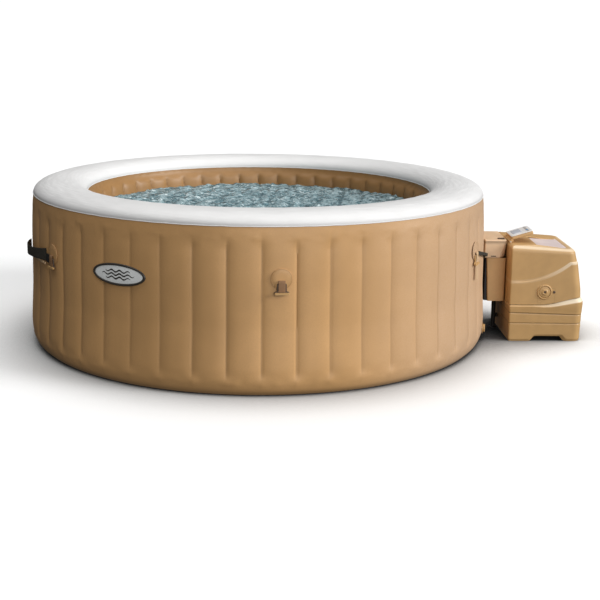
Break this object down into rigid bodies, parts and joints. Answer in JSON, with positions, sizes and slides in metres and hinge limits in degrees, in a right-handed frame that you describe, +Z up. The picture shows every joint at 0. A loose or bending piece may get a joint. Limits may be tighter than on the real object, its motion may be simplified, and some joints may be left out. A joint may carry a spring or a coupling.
{
  "type": "inflatable hot tub",
  "caption": "Round inflatable hot tub with panelled walls and a padded rim, joined by a short duct to a free-standing heater unit with a tilting control panel.",
  "frame": {"origin": "centre of the tub's flat underside, on the floor", "axes": "+Z up, +X from the tub towards the control unit"},
  "size_m": [2.4265, 2.0048, 0.6874],
  "materials": {
    "tan_vinyl": "satin",
    "white_vinyl": "satin",
    "brown_plastic": "satin",
    "grey_plastic": "satin",
    "tan_plastic": "satin",
    "filter_paper": "matte",
    "steel": "satin",
    "white_plastic": "satin",
    "dark_lens": "gloss",
    "blue_plastic": "satin",
    "black_plastic": "satin",
    "board_green": "satin"
  },
  "bodies": {
    "tub": {"outer_wall": "tan_vinyl", "inner_wall": "tan_vinyl", "tub_bottom_pad": "tan_vinyl", "tub_floor": "tan_vinyl", "handle_left": "tan_vinyl", "handle_right": "tan_vinyl", "strap_patch_1": "tan_vinyl", "strap_patch_2": "tan_vinyl", "strap_patch_3": "tan_vinyl", "strap_patch_4": "tan_vinyl", "strap_patch_5": "tan_vinyl", "strap_patch_6": "tan_vinyl", "wall_web": "white_vinyl", "top_rim": "white_vinyl", "bubble_ring": "white_vinyl", "strap_buckle_1": "brown_plastic", "strap_buckle_2": "brown_plastic", "strap_buckle_3": "brown_plastic", "strap_buckle_4": "brown_plastic", "strap_buckle_5": "brown_plastic", "strap_buckle_6": "brown_plastic", "badge_border": "brown_plastic", "badge_plate": "grey_plastic", "inflation_valve": "grey_plastic", "suction_fitting": "grey_plastic", "return_fitting": "grey_plastic", "filter_housing": "grey_plastic", "unit_top_panel": "grey_plastic", "blower_housing": "grey_plastic", "drain_valve": "tan_plastic", "unit_base": "tan_plastic", "unit_cover": "tan_plastic", "air_port_ring": "tan_plastic", "duct_head": "tan_plastic", "duct_leg": "tan_plastic", "filter_cartridge": "filter_paper", "panel_hinge_pin": "steel", "pump_motor": "steel", "heater_tube": "steel", "suction_pipe": "black_plastic", "return_pipe": "black_plastic", "standpipe": "black_plastic", "cord_gland": "black_plastic", "pump_casing": "black_plastic", "circuit_board": "board_green"},
    "control_panel": {"panel_housing": "tan_plastic", "panel_face": "white_plastic", "panel_display": "dark_lens"},
    "button_power": {"button_power": "grey_plastic"},
    "button_heat": {"button_heat": "grey_plastic"},
    "button_filter": {"button_filter": "grey_plastic"},
    "button_bubbles": {"button_bubbles": "blue_plastic"},
    "temperature_rocker": {"temperature_rocker": "grey_plastic"},
    "air_port_cap": {"air_port_cap": "tan_plastic"},
    "port_latch": {"port_latch": "brown_plastic"},
    "drain_cap": {"drain_cap": "tan_plastic"},
    "inflation_cap": {"inflation_cap": "grey_plastic"},
    "filter_cap": {"filter_cap": "grey_plastic"},
    "impeller": {"impeller": "blue_plastic"},
    "blower_fan": {"blower_fan": "white_plastic"}
  },
  "joints": [
    {"name": "panel_tilt", "type": "hinge", "parent": "tub", "child": "control_panel", "pos_m": [1.1, -0.06, 0.4285], "axis": [0, 1, 0], "range_deg": [-50, 16]},
    {"name": "button_power_press", "type": "slide", "parent": "control_panel", "child": "button_power", "axis": [0.284, 0, -0.9588], "range_m": [0, 0.0012], "stiffness_N_per_m": 400},
    {"name": "button_heat_press", "type": "slide", "parent": "control_panel", "child": "button_heat", "axis": [0.284, 0, -0.9588], "range_m": [0, 0.0012], "stiffness_N_per_m": 400},
    {"name": "button_filter_press", "type": "slide", "parent": "control_panel", "child": "button_filter", "axis": [0.284, 0, -0.9588], "range_m": [0, 0.0012], "stiffness_N_per_m": 400},
    {"name": "button_bubbles_press", "type": "slide", "parent": "control_panel", "child": "button_bubbles", "axis": [0.284, 0, -0.9588], "range_m": [0, 0.0012], "stiffness_N_per_m": 400},
    {"name": "temperature_rock", "type": "hinge", "parent": "control_panel", "child": "temperature_rocker", "pos_m": [1.17887, -0.102, 0.47209], "axis": [0.9588, 0, 0.284], "range_deg": [-3, 3], "stiffness_Nm_per_rad": 0.02},
    {"name": "air_port_twist", "type": "hinge", "parent": "tub", "child": "air_port_cap", "pos_m": [1.243, -0.2039, 0.222], "axis": [0, -1, 0], "range_deg": [0, 90]},
    {"name": "port_latch_turn", "type": "hinge", "parent": "tub", "child": "port_latch", "pos_m": [1.285, -0.2039, 0.222], "axis": [0, -1, 0], "range_deg": [0, 90]},
    {"name": "drain_cap_turn", "type": "hinge", "parent": "tub", "child": "drain_cap", "pos_m": [0.98015, -0.19052, 0.056], "axis": [0.9816, -0.1908, 0], "range_deg": [0, 360]},
    {"name": "inflation_cap_turn", "type": "hinge", "parent": "tub", "child": "inflation_cap", "pos_m": [-0.50587, 0.84191, 0.56], "axis": [-0.515, 0.8572, 0], "range_deg": [0, 360]},
    {"name": "filter_cap_twist", "type": "hinge", "parent": "tub", "child": "filter_cap", "pos_m": [0.611, -0.034, 0.385], "axis": [-1, 0, 0], "range_deg": [0, 60]},
    {"name": "impeller_spin", "type": "hinge", "parent": "tub", "child": "impeller", "pos_m": [1.2, -0.07, 0.098], "axis": [1, 0, 0], "continuous": true},
    {"name": "blower_fan_spin", "type": "hinge", "parent": "tub", "child": "blower_fan", "pos_m": [1.245, 0.045, 0.3], "axis": [0, 0, 1], "continuous": true}
  ]
}
